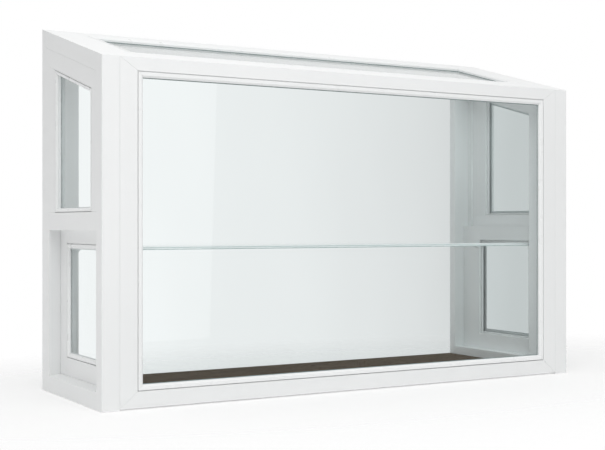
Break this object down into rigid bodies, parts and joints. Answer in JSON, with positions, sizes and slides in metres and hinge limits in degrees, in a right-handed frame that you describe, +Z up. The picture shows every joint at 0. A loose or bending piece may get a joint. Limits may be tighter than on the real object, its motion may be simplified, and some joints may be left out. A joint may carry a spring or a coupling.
{
  "type": "garden window",
  "caption": "Box-shaped white vinyl garden window with a sloping glass roof, fixed front and upper side lights, recessed side vents, a glass shelf and a dark seat board; open at the wall side.",
  "frame": {"origin": "on the floor, in the middle of the width and of the depth", "axes": "+X to the right seen from outside, +Y towards the wall side, +Z up"},
  "size_m": [1.36, 0.415, 0.898],
  "materials": {
    "frame_vinyl": "white extruded vinyl, satin",
    "bead_vinyl": "white snap-in glazing bead, satin",
    "window_glass": "clear float glass with a faint cool tint",
    "shelf_glass": "clear tempered glass with polished edges",
    "seat_board": "dark brown fine-grained board, satin",
    "clip_plastic": "moulded white plastic"
  },
  "bodies": {
    "root": {"corner_post_left": "frame_vinyl", "corner_post_right": "frame_vinyl", "front_head": "frame_vinyl", "front_sill": "frame_vinyl", "front_stile_left": "frame_vinyl", "front_stile_right": "frame_vinyl", "front_bead": "bead_vinyl", "front_glass": "window_glass", "roof_rafter_left": "frame_vinyl", "roof_rafter_right": "frame_vinyl", "roof_front_rail": "frame_vinyl", "roof_back_rail": "frame_vinyl", "roof_bead": "bead_vinyl", "roof_glass": "window_glass", "side_head_left": "frame_vinyl", "side_head_right": "frame_vinyl", "side_mid_rail_left": "frame_vinyl", "side_mid_rail_right": "frame_vinyl", "side_sill_left": "frame_vinyl", "side_sill_right": "frame_vinyl", "side_front_stile_left": "frame_vinyl", "side_front_stile_right": "frame_vinyl", "side_back_stile_left": "frame_vinyl", "side_back_stile_right": "frame_vinyl", "upper_bead_left": "bead_vinyl", "upper_bead_right": "bead_vinyl", "upper_glass_left": "window_glass", "upper_glass_right": "window_glass", "vent_sash_left": "frame_vinyl", "vent_sash_right": "frame_vinyl", "vent_bead_left": "bead_vinyl", "vent_bead_right": "bead_vinyl", "vent_glass_left": "window_glass", "vent_glass_right": "window_glass", "back_jamb_left": "frame_vinyl", "back_jamb_right": "frame_vinyl", "back_head": "frame_vinyl", "seat_board": "seat_board", "glass_shelf": "shelf_glass", "shelf_clips": "clip_plastic"}
  },
  "joints": []
}
